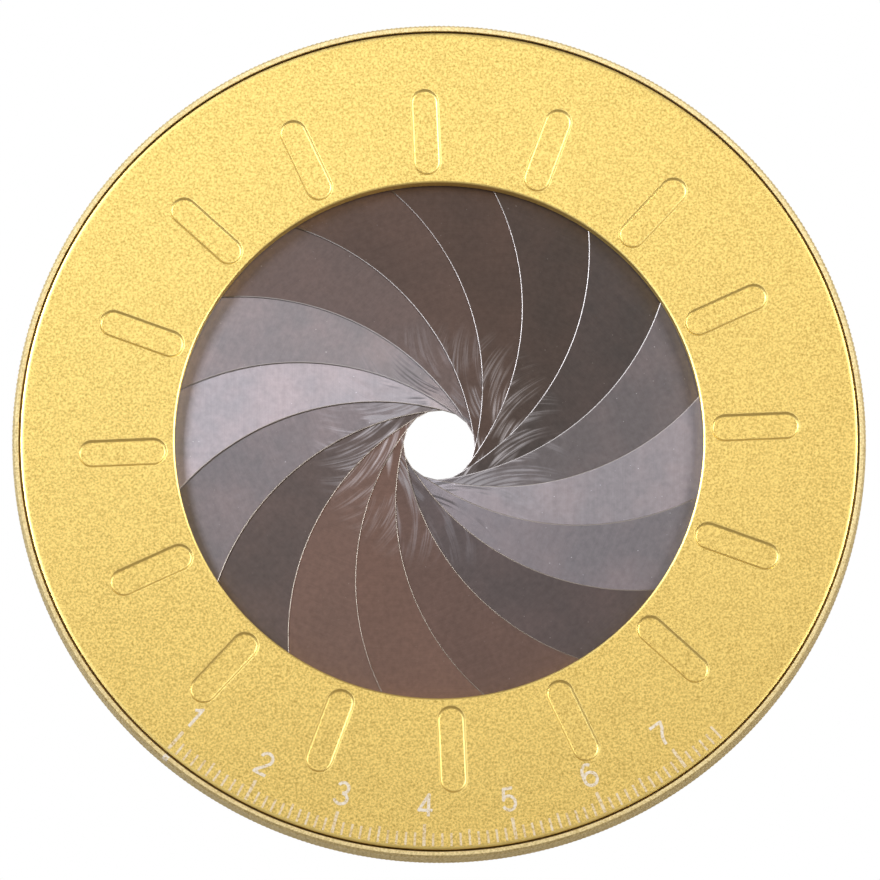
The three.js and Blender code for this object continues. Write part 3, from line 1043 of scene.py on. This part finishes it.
shoulderReach = iris["thickness"] / 2 + pinShape["shoulderGap"]
pivotShoulder = stackMiddle + climb(*pivotPoint) - shoulderReach
driveShoulder = stackMiddle + climb(*drivePoint) + shoulderReach
pivotHeights = (pivotPinHigh[2], pivotShoulder, pivotPinLow[2])
driveHeights = (drivePinLow[2], driveShoulder, drivePinHigh[2])
for index, number in enumerate(bladeNumbers):
    body = f"blade_{number}"
    turn = radians(iris["firstAngle"] + index * bladeStep)
    pivotPin = makePin(f"pivotPin_{number}", body, *pivotHeights, pivotPoint, turn)
    drivePin = makePin(f"drivePin_{number}", body, *driveHeights, drivePoint, turn)
    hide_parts(f"pivot_pin_{number}")
    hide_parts(f"drive_pin_{number}")

wireShape = dict(
    radius=0.38,
    outset=0.12,  # its middle lies this far outside the plate's edge
    opening=9,  # degrees between its two ends
    nipped=0.7,  # share of the radius left where the ends are nipped and dressed
    steps=240,
    sides=12,
)


def makeWire(values):
    mesh = bmesh.new()
    middleRadius = plateHigh[0] + values["outset"]
    loops = []
    for i in range(values["steps"] + 1):
        angle = radians(values["opening"] / 2 + (360 - values["opening"]) * i / values["steps"])
        radius = values["radius"]
        if i in (0, values["steps"]):
            radius *= values["nipped"]
        points = []
        for j in range(values["sides"]):
            around = 2 * pi * j / values["sides"]
            reach = middleRadius + radius * cos(around)
            points.append((reach * cos(angle), reach * sin(angle), wireMiddle + radius * sin(around)))
        loops.append(addLoop(mesh, points))
    for before, after in zip(loops, loops[1:]):
        bridge(mesh, before, after)
    mesh.faces.new(loops[0])
    mesh.faces.new(loops[-1])
    return finishPiece("retainingWire", mesh, wireSteel, "housing")


wire = makeWire(wireShape)
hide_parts("retaining_wire")
report("pins and wire made")

# floor, camera and lights, all in metres
stage = dict(
    floorSize=3.0,
    floorDrop=0.0002,  # just under the ring's foot
    floorGrain=40.0,
    floorTones=(0.6, 0.64),
    floorGlow=1.0,
    cameraDistance=3.0,
    cameraElevation=77.2,
    sensorWidth=36,
    frameWidth=0.12571,  # how wide the picture is at the plate's face
    aimAcross=0.00013,
    aimUp=-0.00007,
    keyPlace=(-0.37, 0.18, 0.42),
    keySize=0.24,
    keyPower=0.335,  # watts
    keyColour=(0.93, 1.05, 1.34),
    fillPlace=(0.4, 0.12, 0.42),
    fillSize=0.3,
    fillPower=0.265,
    fillColour=(0.98, 1.02, 1.12),
    lightSpread=54,  # degrees
    lightAim=0.09,
    worldGlow=0.27,
    worldColour=(1.0, 0.88, 0.76),
)


def showDirectly(tree, lighting, shown, output):
    # one shader lights the object, another is what the camera sees
    seen = addNode(tree, "ShaderNodeLightPath").outputs["Is Camera Ray"]
    mix = addNode(tree, "ShaderNodeMixShader")
    link(tree, seen, mix.inputs[0])
    link(tree, lighting.outputs[0], mix.inputs[1])
    link(tree, shown.outputs[0], mix.inputs[2])
    link(tree, mix.outputs[0], tree.nodes[output].inputs["Surface"])


def makeFloor(values):
    mesh = bmesh.new()
    half = values["floorSize"] / 2
    corners = [(-half, -half), (half, -half), (half, half), (-half, half)]
    mesh.faces.new([mesh.verts.new((x, y, 0)) for x, y in corners])
    data = bpy.data.meshes.new("floor")
    mesh.to_mesh(data)
    mesh.free()
    material, tree, shader = newMaterial("paleFloor")
    place = addNode(tree, "ShaderNodeTexCoord").outputs["Object"]
    grain = noise(tree, place, values["floorGrain"], 3.0, 0.5)
    darker, lighter = values["floorTones"]
    link(tree, ramp(tree, grain, [(0.3, darker), (0.7, lighter)]), shader.inputs["Base Color"])
    shader.inputs["Roughness"].default_value = 0.9
    # seen directly, the floor is evenly white; what it throws back on the ring is softer
    paper = addNode(tree, "ShaderNodeEmission")
    paper.inputs["Strength"].default_value = values["floorGlow"]
    showDirectly(tree, shader, paper, "Material Output")
    data.materials.append(material)
    floor = bpy.data.objects.new("floor", data)
    bpy.context.scene.collection.objects.link(floor)
    floor.location.z = -values["floorDrop"]


def makeCamera(values):
    data = bpy.data.cameras.new("camera")
    camera = bpy.data.objects.new("camera", data)
    bpy.context.scene.collection.objects.link(camera)
    elevation = radians(values["cameraElevation"])
    aim = Vector((values["aimAcross"], values["aimUp"], ring["height"] * mm))
    away = Vector((0, -cos(elevation), sin(elevation)))
    camera.location = aim + values["cameraDistance"] * away
    camera.rotation_euler = (pi / 2 - elevation, 0, 0)
    data.sensor_width = values["sensorWidth"]
    data.lens = values["sensorWidth"] * values["cameraDistance"] / values["frameWidth"]
    data.clip_end = 20
    bpy.context.scene.camera = camera


def makeLight(name, values):
    # both are feathered: they aim past the far edge, so the near edge falls off a little
    data = bpy.data.lights.new(f"{name}Box", "AREA")
    data.shape = "DISK"
    data.size = values[f"{name}Size"]
    data.energy = values[f"{name}Power"]
    data.color = values[f"{name}Colour"]
    data.spread = radians(values["lightSpread"])
    light = bpy.data.objects.new(f"{name}Box", data)
    bpy.context.scene.collection.objects.link(light)
    light.location = values[f"{name}Place"]
    aim = Vector((0, values["lightAim"], 0)) - light.location
    light.rotation_euler = aim.to_track_quat("-Z", "Y").to_euler()


def makeSurroundings(values):
    # a dim warm room lights the ring, while the backdrop behind it is as white as the floor
    world = bpy.data.worlds.new("studio")
    bpy.context.scene.world = world
    world.use_nodes = True
    tree = world.node_tree
    room = tree.nodes["Background"]
    room.inputs["Color"].default_value = (*values["worldColour"], 1)
    room.inputs["Strength"].default_value = values["worldGlow"]
    backdrop = addNode(tree, "ShaderNodeBackground")
    backdrop.inputs["Strength"].default_value = values["floorGlow"]
    backdrop.inputs["Color"].default_value = (1, 1, 1, 1)
    showDirectly(tree, room, backdrop, "World Output")


makeFloor(stage)
makeCamera(stage)
makeLight("key", stage)
makeLight("fill", stage)
makeSurroundings(stage)
bpy.context.scene.view_settings.view_transform = "Standard"
report("stage set")
